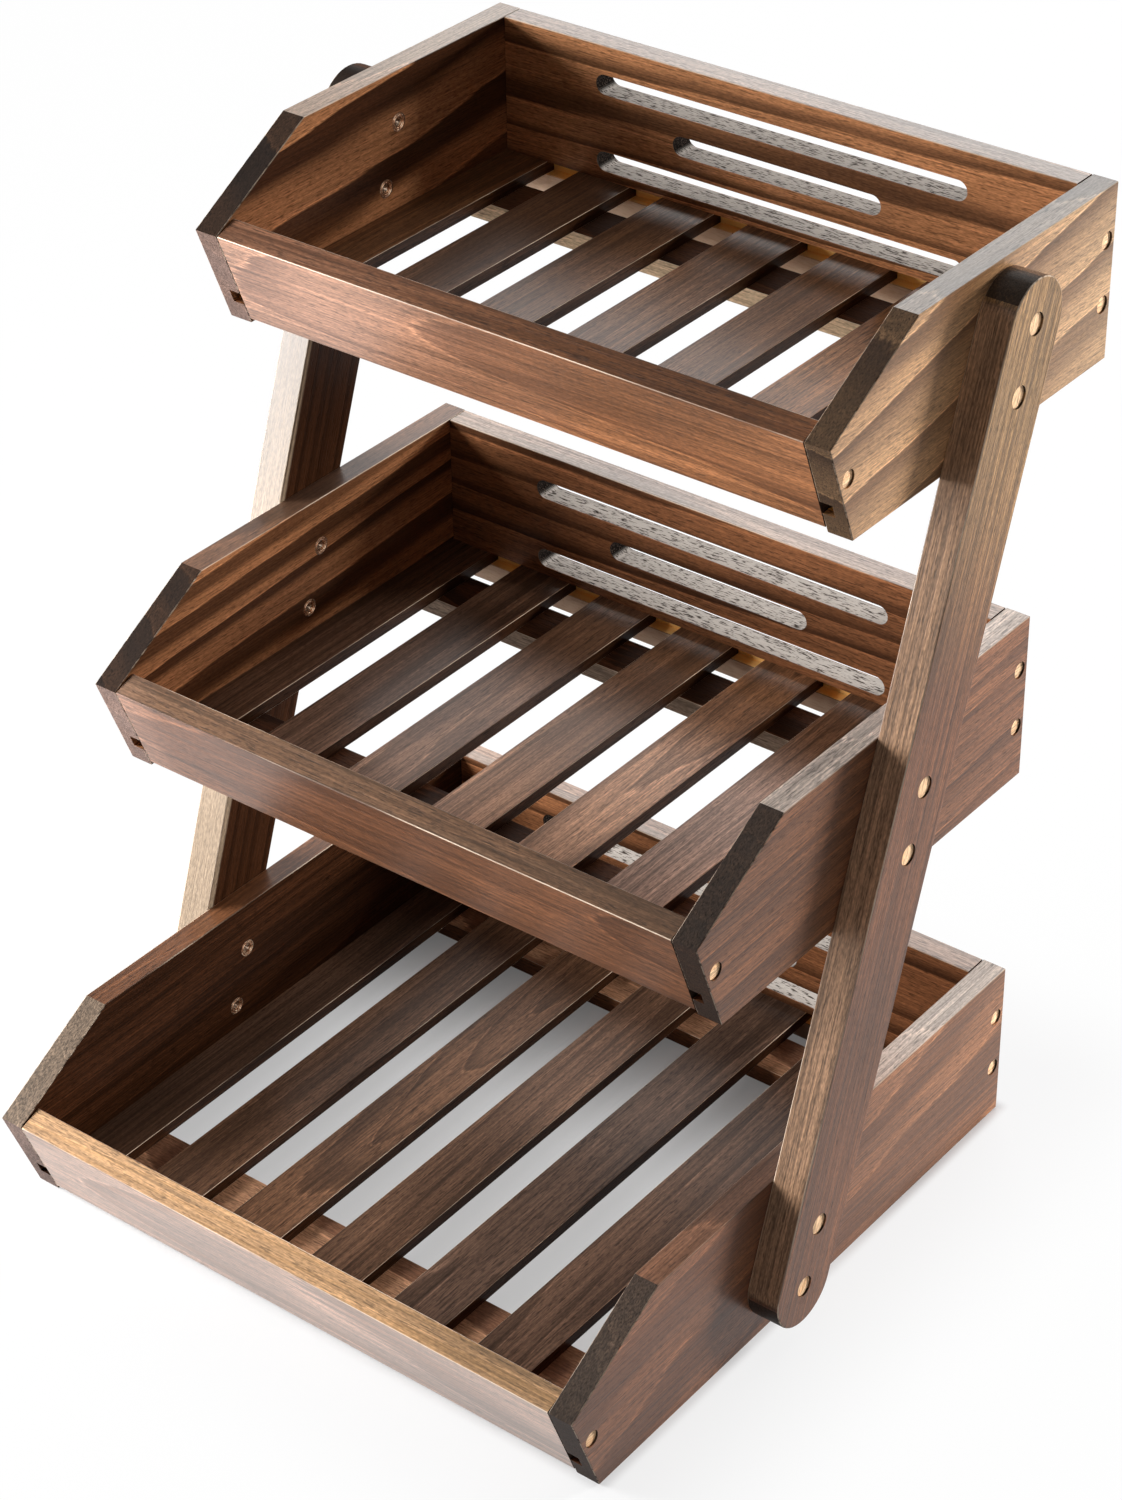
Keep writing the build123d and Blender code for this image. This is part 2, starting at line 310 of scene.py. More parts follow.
def make_world():
    world = bpy.data.worlds.new("studio")
    world.use_nodes = True
    tree = world.node_tree
    tree.nodes.clear()
    direction = tree.nodes.new("ShaderNodeTexCoord").outputs["Generated"]
    right, _, upward = parts(tree, direction)
    room = mix(tree, ease(tree, upward, *CEILING_STARTS), HORIZON_COLOUR, CEILING_COLOUR)
    room = mix(tree, ease(tree, right, *WALL_STARTS), room, WALL_COLOUR)
    at_card = ease(tree, aim(tree, "DOT_PRODUCT", direction, CARD_DIRECTION), *CARD_STARTS)
    room = mix(tree, at_card, room, WHITE)
    is_camera = tree.nodes.new("ShaderNodeLightPath").outputs["Is Camera Ray"]
    room = mix(tree, is_camera, room, WHITE)
    seen = add(tree, "ShaderNodeBackground", {"Color": room, "Strength": 1.0}).outputs[0]
    fill = add(tree, "ShaderNodeBackground", {"Strength": WORLD_FILL}).outputs[0]
    both = add(tree, "ShaderNodeMixShader", {0: seen_directly(tree), 1: fill, 2: seen}).outputs[0]
    add(tree, "ShaderNodeOutputWorld", {"Surface": both})
    scene.world = world


make_world()
print("world made:", scene.world.name)

# %% [markdown]
# ## Soft lamps
# A product studio hangs large white boxes of light round the object. One behind and above puts
# the sheen on everything that lies flat. The main light stands low at the left, so the fronts
# fall off towards the right. A third one behind the right side only just grazes the outer
# faces, which lets the leg throw its shadow along them. It is small and bright, so the lacquer
# doesn't mirror it. Each is set by its brightness, and its power follows from its area.

# %% Lamps
STAND_MIDDLE = Vector((0.0, 0.0, 0.22))


def softbox(name, place, width, height, brightness, mirrored=True):
    """A white rectangle of light that faces the middle of the stand."""
    lamp = bpy.data.lights.new(name, "AREA")
    lamp.shape = "RECTANGLE"
    lamp.size = width
    lamp.size_y = height
    lamp.energy = brightness * math.pi * width * height
    holder = bpy.data.objects.new(name, lamp)
    scene.collection.objects.link(holder)
    turned = (STAND_MIDDLE - Vector(place)).to_track_quat("-Z", "Y")
    holder.matrix_world = Matrix.Translation(place) @ turned.to_matrix().to_4x4()
    holder.visible_camera = False
    holder.visible_glossy = mirrored


softbox("back_box", (-0.5, 1.9, 1.6), 2.2, 1.2, 4.0)
softbox("left_box", (-0.85, -0.5, 0.45), 0.5, 0.6, 28.0)
softbox("right_box", (1.1, 1.85, 0.55), 0.45, 0.45, 108.0, mirrored=False)
print("lamps:", sorted(light.name for light in bpy.data.lights))

# %% [markdown]
# ## Where a board lies
# Wood has a direction. To paint it, the shader needs to know where a point lies in its board:
# how far along the fibre, across the width and through the thickness. The axes could be typed
# in for each board, but they can be measured: the widest pair of faces gives the thickness, the
# next widest gives the width, and the fibre runs along what is left.

# %% Board axes
STILL_SQUARE = 0.5


def forward(direction):
    """The same direction, or its opposite, with its largest part positive."""
    return direction if max(direction, key=abs) > 0 else -direction


def board_axes(name):
    """A board's centre, the directions of its fibre, width and thickness, and half its width."""
    sums = {}
    for face in nodes[name].data.polygons:
        normal = forward(face.normal)
        key = tuple(round(part, 2) for part in normal)
        sums[key] = sums.get(key, Vector()) + normal * face.area
    widest_first = sorted(sums.values(), key=lambda total: total.length, reverse=True)
    widest_first = [total.normalized() for total in widest_first]
    through = widest_first[0]
    across = next(normal for normal in widest_first if abs(normal.dot(through)) < STILL_SQUARE)
    across = (across - through * across.dot(through)).normalized()
    fibre = forward(across.cross(through))
    low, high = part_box(name)
    centre = (low + high) / 2
    half = max(abs((vertex.co - centre).dot(across)) for vertex in nodes[name].data.vertices)
    return {"Centre": centre, "Fibre": fibre, "Across": across, "Through": through, "Half": half}


for name in ("top_front_board", "right_leg"):
    axes = board_axes(name)
    print(name, "fibre:", [round(part, 3) for part in axes["Fibre"]])
    print(name, "half width:", round(axes["Half"], 4))

# %% [markdown]
# ## Place in the board, as a node group
# The group turns a point of the stand into board measure, in metres, by three dot products.
# It does the same with the direction that the surface faces, so that later groups can tell a
# broad face from an edge or a sawn end.

# %% Board place group
BOARD_DIRECTIONS = ("Fibre", "Across", "Through")


def make_place_group():
    inputs = {label: "Vector" for label in ("Position", "Facing", "Centre") + BOARD_DIRECTIONS}
    tree, given, end = new_group("place in board", inputs, {"Place": "Vector", "Turned": "Vector"})
    offset = aim(tree, "SUBTRACT", given["Position"], given["Centre"])
    for source, label in ((offset, "Place"), (given["Facing"], "Turned")):
        joined = tree.nodes.new("ShaderNodeCombineXYZ")
        for index, axis in enumerate(BOARD_DIRECTIONS):
            tree.links.new(aim(tree, "DOT_PRODUCT", source, given[axis]), joined.inputs[index])
        tree.links.new(joined.outputs[0], end.inputs[label])
    return tree


place_group = make_place_group()
print("group made:", place_group.name)

# %% [markdown]
# ## Growth rings
# A board is cut from a log, and the log is a stack of cones round its pith. So the rings are
# made as the tree makes them: the distance from the pith, divided by the ring width. The pith
# lies some way outside the board and drifts along it, which draws the long arches of a
# flat-sawn face by itself, and straight lines where the cut is more upright. Within a ring the
# wood darkens slowly and ends in a sharp light line. Some noise makes the log crooked. A wave
# texture would give stripes, but never arches that agree on the face, the edge and the end of
# the same board.

# %% Distance from the pith
RING_SEED_STEP = (17.1, 5.3, 9.7)
CROOK_FEATURES = (4.5, 22.0, 22.0)
CROOK_DETAIL = 1.5
RINGS_UNEVEN_SCALE = 0.55
RINGS_UNEVEN_BY = 1.3
RINGS_FRAYED_BY = 0.05


def pith_distance(tree, given):
    """How far a point lies from the crooked, drifting middle of the log."""
    apart = scaled(tree, RING_SEED_STEP, given["Seed"])
    spread = aim(tree, "ADD", aim(tree, "MULTIPLY", given["Place"], CROOK_FEATURES), apart)
    crook = aim(tree, "SUBTRACT", noise(tree, spread, CROOK_DETAIL, "Color"), (0.5, 0.5, 0.5))
    crooked = aim(tree, "ADD", given["Place"], scaled(tree, crook, given["Sway"]))
    drift = scaled(tree, given["Drift"], parts(tree, given["Place"])[0])
    from_pith = aim(tree, "SUBTRACT", aim(tree, "SUBTRACT", crooked, given["Pith"]), drift)
    return aim(tree, "LENGTH", aim(tree, "MULTIPLY", from_pith, (0.0, 1.0, 1.0)))


def ring_count(tree, given, radius):
    """The number of rings out to a radius. Some are wider than others, and their lines fray."""
    count = calc(tree, "ADD", calc(tree, "DIVIDE", radius, given["Ring"]), given["Seed"])
    inputs = {"W": count, "Scale": RINGS_UNEVEN_SCALE, "Detail": 1.0}
    uneven = add(tree, "ShaderNodeTexNoise", inputs, noise_dimensions="1D").outputs[0]
    count = calc(tree, "MULTIPLY_ADD", uneven, RINGS_UNEVEN_BY, count)
    frayed = product(tree, calc(tree, "SUBTRACT", given["Fray"], 0.5), RINGS_FRAYED_BY)
    return calc(tree, "ADD", count, frayed)


print("bends of the log in a metre of its length:", CROOK_FEATURES[0])

# %% Rings group
RING_VECTORS = ("Place", "Pith", "Drift")
RING_NUMBERS = ("Ring", "Sway", "Share", "Soft", "Fray", "Seed")
RING_RESULTS = ("Late", "Shade", "Radius", "Line")
SUMMER_LATEST = 0.84
SUMMER_VARIES = 0.22
SUMMER_ENDS = (0.965, 1.0)
LINE_RISES = (0.0, 0.01)
LINE_FALLS = (0.05, 0.015)


def make_rings_group():
    inputs = {label: "Vector" for label in RING_VECTORS}
    inputs.update({label: "Float" for label in RING_NUMBERS})
    outputs = {label: "Float" for label in RING_RESULTS}
    tree, given, end = new_group("growth rings", inputs, outputs)
    radius = pith_distance(tree, given)
    count = ring_count(tree, given, radius)
    year = calc(tree, "FLOOR", count)
    season = calc(tree, "FRACT", count)
    shade = add(tree, "ShaderNodeTexWhiteNoise", {"W": year}, noise_dimensions="1D").outputs["Value"]
    summer = calc(tree, "MULTIPLY_ADD", shade, SUMMER_VARIES, SUMMER_LATEST)
    summer = calc(tree, "SUBTRACT", summer, given["Share"])
    rise = ease(tree, season, summer, calc(tree, "ADD", summer, given["Soft"]))
    late = product(tree, rise, ease(tree, season, *SUMMER_ENDS, 1.0, 0.0))
    line = product(tree, ease(tree, season, *LINE_RISES), ease(tree, season, *LINE_FALLS))
    give(tree, end, Late=late, Shade=shade, Radius=radius, Line=line)
    return tree


rings_group = make_rings_group()
print("group made:", rings_group.name)

# %% [markdown]
# ## Fibres
# Up close, planed pine shows streaks along the fibre with hair lines between them, short dark
# dashes where the stain has sunk into an open cell, slow clouds where it took more or less, and
# a fine grain. All five are noise, drawn out along the board. Each has its own number of
# features in a metre, along and across the fibre, its detail, and the limits that sharpen it.

# %% Fibres group
FIBRES = {
    "Streak": (11.0, 420.0, 3.0, (0.3, 0.7)),
    "Hair": (16.0, 1300.0, 2.0, (0.3, 0.7)),
    "Dash": (160.0, 1500.0, 1.0, (0.55, 0.66)),
    "Cloud": (7.0, 26.0, 2.0, (0.3, 0.7)),
    "Grain": (420.0, 1500.0, 1.0, (0.25, 0.75)),
}
FIBRE_KINDS = tuple(FIBRES)
FIBRE_SEED_STEP = (3.7, 11.9, 7.3)


def make_fibres_group():
    outputs = {label: "Float" for label in FIBRE_KINDS}
    tree, given, end = new_group("fibres", {"Place": "Vector", "Seed": "Float"}, outputs)
    apart = scaled(tree, FIBRE_SEED_STEP, given["Seed"])
    for label, (lengthwise, crosswise, detail, limits) in FIBRES.items():
        drawn_out = aim(tree, "MULTIPLY", given["Place"], (lengthwise, crosswise, crosswise))
        pattern = noise(tree, aim(tree, "ADD", drawn_out, apart), detail)
        tree.links.new(ease(tree, pattern, *limits), end.inputs[label])
    return tree


fibres_group = make_fibres_group()
print("group made:", fibres_group.name)

# %% [markdown]
# ## The stain
# The stain is what makes the stand look like walnut. Soft spring wood turns a warm brown, hard
# summer wood a brown that is nearly black, and the outer sapwood stays paler. Where a fibre
# lies open, the stain sinks in and leaves a dark fleck. A board may be tinted towards one end,
# which is painted light and shade, and some are darker on the side that faces outwards, which
# is painted shade.

# %% Stain on the broad faces
PATTERN_AMOUNTS = (("Streak", "Brush"), ("Hair", "Comb"), ("Grain", "Speck"), ("Cloud", "Blotch"))
FLECKS_IN_SUMMER_WOOD = -0.6
SAPWOOD_BLEND = 1.5 * MM
DARKEST_YEAR = 0.8
YEARS_VARY = 0.3
RINGS_IN_SAPWOOD = -0.85
FACING_OUT = (0.5, 0.8)


def pattern_level(tree, given):
    """How much lighter or darker the fibres leave the stain, as a grey."""
    level = calc(tree, "MULTIPLY_ADD", given["Line"], given["Thin"], 1.0)
    for pattern, amount in PATTERN_AMOUNTS:
        centred = calc(tree, "SUBTRACT", given[pattern], 0.5)
        level = product(tree, level, calc(tree, "MULTIPLY_ADD", centred, given[amount], 1.0))
    open_cells = calc(tree, "MULTIPLY_ADD", given["Late"], FLECKS_IN_SUMMER_WOOD, 1.0)
    flecks = product(tree, given["Dash"], open_cells, given["Fleck"])
    level = product(tree, level, calc(tree, "SUBTRACT", 1.0, flecks))
    return add(tree, "ShaderNodeCombineColor", {0: level, 1: level, 2: level}).outputs[0]


def face_stain(tree, given, onward):
    """The stain on spring wood, summer wood and sapwood, and painted shade on an outer face."""
    sap_starts = calc(tree, "SUBTRACT", given["Sapwood"], SAPWOOD_BLEND)
    in_sap = ease(tree, given["Radius"], sap_starts, given["Sapwood"])
    ripe = product(tree, calc(tree, "MULTIPLY_ADD", given["Shade"], YEARS_VARY, DARKEST_YEAR),
                   given["Contrast"], calc(tree, "MULTIPLY_ADD", in_sap, RINGS_IN_SAPWOOD, 1.0))
    wood = mix(tree, in_sap, given["Spring"], given["SapAndSheen"])
    wood = mix(tree, product(tree, given["Late"], ripe), wood, given["Summer"])
    wood = mix(tree, 1.0, wood, mix(tree, onward, given["Low"], given["High"]), "MULTIPLY")
    outward = product(tree, parts(tree, given["Turned"])[2], given["Outward"])
    shaded_outside = product(tree, ease(tree, outward, *FACING_OUT), given["OuterShade"])
    return mix(tree, shaded_outside, wood, given["Outer"])


print("patterns of fibre in the stain:", [pattern for pattern, _ in PATTERN_AMOUNTS])

# %% [markdown]
# ## Edges and sawn ends
# A board's narrow faces took a colour of their own, most of them paler, and the pale grey top
# edges of most side panels and of the back boards are a painted sheen. Its sawn ends drink more
# stain and turn dark and dull, and the slanted nose that looks downwards has a tone of its own,
# which on the left panels is paler: painted light. Rubbed corners lose a little stain, and show
# as fine light lines, partly wear and partly a painted glint. One group joins these rules into a
# colour, a roughness, a height for the bump and the weight of the lacquer.

# %% Stain on edges and ends
RIM_WIDTH = (1.2 * MM, 0.8 * MM)
FACING_ASIDE = (0.85, 0.95)
FACING_DOWN = (-0.2, -0.3)
CORNER_STARTS = (0.12, 0.4)
CORNER_ENDS = (0.97, 0.85)
RUB_AND_GLINT_STREAKS = (0.0, 0.7)


def edge_stain(tree, given, wood, onward, turned, sawn):
    """Lays narrow faces, some with a painted sheen, and sawn ends over the broad faces."""
    aside = parts(tree, aim(tree, "ABSOLUTE", given["Place"]))[1]
    rim = ease(tree, calc(tree, "SUBTRACT", given["Half"], aside), *RIM_WIDTH)
    kept = calc(tree, "MULTIPLY_ADD", calc(tree, "SUBTRACT", onward, 1.0), given["Fade"], 1.0)
    narrow = product(tree, given["Edge"], kept, rim, ease(tree, turned[1], *FACING_ASIDE))
    wood = mix(tree, narrow, wood, given["SapAndSheen"])
    downward = ease(tree, parts(tree, given["Turned"])[1], *FACING_DOWN)
    cut = mix(tree, downward, given["End"], given["Nose"])
    return mix(tree, product(tree, sawn, given["Soak"]), wood, cut)


def rub_and_glint_corners(tree, given, wood, turned):
    """Lays light lines on corners, partly wear and partly a painted glint, over the rest."""
    corner = product(tree, ease(tree, turned[2], *CORNER_STARTS), ease(tree, turned[2], *CORNER_ENDS))
    rubbed_and_glinting = product(tree, given["RubAndGlint"], ease(tree, given["Streak"], *RUB_AND_GLINT_STREAKS))
    return mix(tree, product(tree, corner, rubbed_and_glinting), wood, given["WornAndGlint"])


print("width of the rim that a narrow face may tint:", RIM_WIDTH[0])

# %% Stain group
STAIN_LEVELS = ("Contrast", "Brush", "Comb", "Speck", "Blotch", "Fleck", "Thin", "From", "To",
                "Sapwood", "Edge", "Fade", "Half", "Soak", "Outward", "OuterShade", "RubAndGlint", "Gloss",
                "Coat", "Face", "Side")
STAIN_COLOURS = ("Spring", "Summer", "Low", "High", "Outer", "SapAndSheen", "End", "Nose", "WornAndGlint")
FACING_ALONG = (0.25, 0.48)
FACING_THROUGH = (0.5, 0.7)
HEIGHTS = (("Streak", 0.35), ("Late", 0.25), ("Dash", -0.5), ("Hair", 0.3))
ROUGHER_BY = (("Streak", 0.08), ("Dash", 0.12))
ENDS_ROUGHER_BY = 0.3
LACQUER_LOST_ON_ENDS = -0.8


def make_stain_group():
    inputs = {label: "Float" for label in RING_RESULTS + FIBRE_KINDS + STAIN_LEVELS}
    inputs.update({label: "Color" for label in STAIN_COLOURS})
    inputs.update({"Place": "Vector", "Turned": "Vector"})
    outputs = {"Colour": "Color", "Roughness": "Float", "Height": "Float", "Lacquer": "Float"}
    tree, given, end = new_group("walnut stain", inputs, outputs)
    onward = ease(tree, parts(tree, given["Place"])[0], given["From"], given["To"])
    turned = parts(tree, aim(tree, "ABSOLUTE", given["Turned"]))
    sawn = ease(tree, turned[0], *FACING_ALONG)
    wood = face_stain(tree, given, onward)
    wood = edge_stain(tree, given, wood, onward, turned, sawn)
    wood = mix(tree, 1.0, wood, pattern_level(tree, given), "MULTIPLY")
    wood = rub_and_glint_corners(tree, given, wood, turned)
    rough = calc(tree, "MULTIPLY_ADD", sawn, ENDS_ROUGHER_BY, given["Gloss"])
    for pattern, amount in ROUGHER_BY:
        rough = calc(tree, "MULTIPLY_ADD", given[pattern], amount, rough)
    height = 0.0
    for pattern, amount in HEIGHTS:
        height = calc(tree, "MULTIPLY_ADD", given[pattern], amount, height)
    more_on_faces = calc(tree, "SUBTRACT", given["Face"], given["Side"])
    broad = ease(tree, turned[2], *FACING_THROUGH)
    lacquer = calc(tree, "MULTIPLY_ADD", broad, more_on_faces, given["Side"])
    kept = calc(tree, "MULTIPLY_ADD", sawn, LACQUER_LOST_ON_ENDS, 1.0)
    lacquer = product(tree, lacquer, kept, given["Coat"])
    give(tree, end, Colour=wood, Roughness=rough, Height=height, Lacquer=lacquer)
    return tree


stain_group = make_stain_group()
print("group made:", stain_group.name)

# %% [markdown]
# ## One look for each board
# No two boards of a real stand share a grain, so each gets its own material. They all use the
# same groups, and differ in a short list of values. Pith and Drift place the log, in board
# measure. Low and High tint a board towards its two ends, between From and To, which is painted
# light and shade. A colour and Edge tint its narrow faces, a pale grey on most side panels and the
# back boards that is a painted sheen, and End and Nose its sawn ends. Outer is a painted shade on
# the side that faces outwards. Coat is how much lacquer it has, Face and Side where, and Lustre
# how strongly the lacquer mirrors. The list below is the plainest board.

# %% Plain look
def stained(level):
    """The brown of the stain, which turns from red brown to tan where it took less."""
    return level, level * (0.36 + 0.2 * level), level * (0.15 + 0.1 * level), 1.0


def worn_brown(level, grey):
    """The greyer brown of the slats, which are handled the most."""
    return level, grey * level, (1.5 * grey - 0.48) * level, 1.0


LOOK = {
    "Pith": (0.0, 0.010, -0.070), "Drift": (0.0, 0.03, 0.05),
    "Ring": 0.007, "Sway": 0.012, "Share": 0.5, "Soft": 0.2,
    "Spring": stained(0.20), "Summer": stained(0.032), "Contrast": 0.95,
    "Brush": 0.25, "Comb": 0.4, "Speck": 0.4, "Blotch": 0.35, "Fleck": 0.45, "Thin": 0.4,
    "Low": WHITE, "High": WHITE, "From": -0.03, "To": 0.13,
    "Outer": stained(0.10), "Outward": 1.0, "OuterShade": 0.0,
    "SapAndSheen": paint(196, 160, 124), "Sapwood": 9.0, "Edge": 0.0, "Fade": 0.0,
    "End": paint(32, 24, 19), "Nose": paint(40, 30, 24), "Soak": 0.94,
    "WornAndGlint": paint(236, 214, 190), "RubAndGlint": 0.7, "Gloss": 0.45,
    "Coat": 0.8, "Face": 1.0, "Side": 1.0, "Lustre": 1.5, "Specular": 0.15,
}
print("values in a look:", len(LOOK))

# %% [markdown]
# ## The material of a board
# The grooves were cut after the stain and show clear yellow pine. That goes over the stain
# through a mask, which each kind of board makes for itself.

# %% Board material
RING_KEYS = ("Pith", "Drift", "Ring", "Sway", "Share", "Soft")
LACQUER_ROUGHNESS = 0.28
BUMP_DEPTH = 0.25 * MM
BUMP_STRENGTH = 0.5
BARE_LIGHT = paint(255, 214, 140)
BARE_DARK = paint(255, 198, 116)
BARE_ROUGHER_BY = 0.3


def board_material(name, seed, look, bare=None, axes=None):
    """Stained pine for one board. The function bare, where given, makes the mask of bare wood."""
    values = dict(LOOK, **look)
    axes = dict(axes or board_axes(name))
    values["Half"] = axes.pop("Half")
    material = bpy.data.materials.new(name + "_pine")
    material.use_nodes = True
    tree = material.node_tree
    shader = tree.nodes["Principled BSDF"]
    position = tree.nodes.new("ShaderNodeTexCoord").outputs["Object"]
    facing = tree.nodes.new("ShaderNodeNewGeometry").outputs["True Normal"]
    place = use(tree, place_group, dict(axes, Position=position, Facing=facing))
    fibres = use(tree, fibres_group, {"Place": place["Place"], "Seed": seed})
    rings = {key: values[key] for key in RING_KEYS}
    rings.update({"Place": place["Place"], "Fray": fibres["Streak"], "Seed": seed})
    rings = use(tree, rings_group, rings)
    stain = {key: values[key] for key in STAIN_LEVELS + STAIN_COLOURS}
    stain.update({label: rings[label] for label in RING_RESULTS})
    stain.update({label: fibres[label] for label in FIBRE_KINDS})
    stain.update({"Place": place["Place"], "Turned": place["Turned"]})
    stain = use(tree, stain_group, stain)
    colour = stain["Colour"]
    roughness = stain["Roughness"]
    if bare:
        mask = bare(tree, position, facing)
        colour = mix(tree, mask, colour, mix(tree, fibres["Streak"], BARE_DARK, BARE_LIGHT))
        roughness = calc(tree, "MULTIPLY_ADD", mask, BARE_ROUGHER_BY, roughness)
    bump = {"Height": stain["Height"], "Distance": BUMP_DEPTH, "Strength": BUMP_STRENGTH}
    bump = add(tree, "ShaderNodeBump", bump).outputs[0]
    tree.links.new(colour, shader.inputs["Base Color"])
    tree.links.new(roughness, shader.inputs["Roughness"])
    tree.links.new(bump, shader.inputs["Normal"])
    tree.links.new(stain["Lacquer"], shader.inputs["Coat Weight"])
    shader.inputs["Coat Roughness"].default_value = LACQUER_ROUGHNESS
    shader.inputs["Coat IOR"].default_value = values["Lustre"]
    shader.inputs["Specular IOR Level"].default_value = values["Specular"]
    nodes[name].data.materials.clear()
    nodes[name].data.materials.append(material)


print("roughness of the lacquer:", LACQUER_ROUGHNESS)

# %% [markdown]
# ## Side panels
# A side panel is a planed board with its fibre running front to back. The groove for the floor
# shows bare pine, except near the nose, where it runs out in the open and took some stain. Both
# sides are covered by one rule, because the mask reads the distance from the middle.

# %% Bare wood of the side panels
GROOVE_ROOM = 0.25 * MM
FACE_SKIN = 0.06 * MM
NOSE_LENGTH = 18 * MM


def groove_heights(tray):
    """The lowest and highest point of a tray's floor groove."""
    low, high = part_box(tray + "_slat_1")
    return low.z - GROOVE_ROOM, high.z + GROOVE_ROOM


def panel_bare(tray):
    low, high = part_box(tray + "_right_panel")
    groove_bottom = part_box("%s_slat_%d" % (tray, SLAT_COUNT))[1].x + 2 * GROOVE_ROOM

    def bare(tree, position, facing):
        x, y, z = parts(tree, position)
        inside = between(tree, calc(tree, "ABSOLUTE", x), low.x + FACE_SKIN, groove_bottom)
        behind_nose = between(tree, y, low.y + NOSE_LENGTH, high.y)
        return product(tree, inside, behind_nose, between(tree, z, *groove_heights(tray)))
    return bare


for tray in TRAYS:
    print(tray, "groove from and to:", [round(height, 4) for height in groove_heights(tray)])

# %% Side panels
DEEP = {"Face": 0.1, "Specular": 0.05}
# The left panels are darker on their outer faces, which is painted shade.
OUTER_SHADED = dict(DEEP, Outward=-1.0, OuterShade=0.7)
# High makes the right panels paler and greyer towards the back, and Low the bottom right one darker at
# the front: painted reflection of the floor. The top right panel's pale tan is partly painted
# reflection too. Pale grey top edges are a painted sheen, and the pale noses of the left panels and the
# pale sawn ends of the bottom left one are painted light.
PANEL_LOOKS = {
    "top_right": {
        "Pith": (0, -0.12, -0.03), "Drift": (0, 0.2, 0), "Ring": 0.024, "Sway": 0.02, "Share": 0.75,
        "Soft": 0.7, "Contrast": 0.9, "Thin": 0.6, "Spring": (0.50, 0.28, 0.135, 1),
        "Summer": (0.15, 0.07, 0.03, 1), "High": (1, 1.08, 1.15, 1), "Edge": 0.8,
        "SapAndSheen": paint(132, 122, 112), "Nose": paint(26, 20, 16), "Soak": 0.8, "RubAndGlint": 0.4, "Coat": 0.6},
    "top_left": dict(
        OUTER_SHADED, Pith=(0, -0.09, -0.03), Drift=(0, 0.12, 0), Ring=0.028, Sway=0.02, Share=0.65,
        Soft=0.25, Spring=stained(0.38), Summer=stained(0.05), Edge=0.8, SapAndSheen=paint(186, 162, 142),
        Nose=paint(110, 90, 82)),
    "middle_right": {
        "Pith": (0, -0.1, -0.03), "Drift": (0, 0.08, 0), "Ring": 0.014, "Soft": 0.6, "Contrast": 0.8,
        "Brush": 0.45, "Comb": 0.6, "Spring": stained(0.17), "Summer": stained(0.07),
        "High": (1.35, 1.4, 1.5, 1), "Edge": 0.8, "SapAndSheen": paint(216, 202, 190),
        "End": paint(44, 36, 30), "RubAndGlint": 0.4, "Coat": 0.45},
    "middle_left": dict(
        OUTER_SHADED, Pith=(0, -0.07, -0.03), Drift=(0, 0.06, 0), Ring=0.015, Sway=0.006, Share=0.6,
        Soft=0.3, Spring=stained(0.34), Summer=stained(0.055), Edge=0.7, SapAndSheen=(0.11, 0.062, 0.04, 1),
        Nose=paint(120, 100, 92)),
    "bottom_right": {
        "Pith": (0, -0.05, -0.03), "Drift": (0, 0.25, 0), "Ring": 0.03, "Sway": 0.035, "Share": 0.6,
        "Soft": 0.3, "Contrast": 0.7, "Brush": 0.4, "Comb": 0.6, "Spring": stained(0.24),
        "Summer": stained(0.12), "Low": (0.75, 0.72, 0.75, 1), "High": (1.2, 1.25, 1.3, 1),
        "Edge": 0.85, "Fade": 0.9, "SapAndSheen": paint(184, 170, 158), "End": paint(62, 52, 44),
        "RubAndGlint": 0.4, "Coat": 0.5},
    "bottom_left": dict(
        DEEP, Pith=(0, -0.06, -0.03), Ring=0.012, Contrast=0.6, Edge=0.5, SapAndSheen=stained(0.2), Comb=0.7,
        Spring=stained(0.045), Summer=stained(0.02), End=paint(106, 90, 75), Nose=paint(120, 100, 92)),
}
for index, (board, look) in enumerate(PANEL_LOOKS.items()):
    seed = 1.37 * index + 0.4
    board_material(board + "_panel", seed, look, panel_bare(board.split("_")[0]))
print("panels dressed:", len(PANEL_LOOKS))

# %% [markdown]
# ## Front boards
# The front boards lean outwards and show the most of their broad face. They took the stain
# evenly, so their rings are only just darker than the wood between them. The lowest one is the
# palest, which is partly a painted reflection of the white floor, and its lacquer mirrors the most.
# The upper two are paler and greyer at their left ends, a painted reflection, and the top one is
# darker at its right end, painted shade. Only the walls of the groove lie level or upright, so
# the mask of bare wood looks for those.

# %% Front boards
SQUARE = (0.99, 1.01)


def front_bare(tray):
    def bare(tree, position, facing):
        height = parts(tree, position)[2]
        turned = parts(tree, aim(tree, "ABSOLUTE", facing))
        level = between(tree, turned[2], *SQUARE)
        upright = between(tree, turned[1], *SQUARE)
        in_groove = between(tree, height, *groove_heights(tray))
        return product(tree, calc(tree, "MAXIMUM", level, upright), in_groove)
    return bare


FRONT_LOOK = {"Soft": 0.5, "Contrast": 0.8, "Brush": 0.5, "Comb": 0.5, "Blotch": 0.5, "RubAndGlint": 0.9}
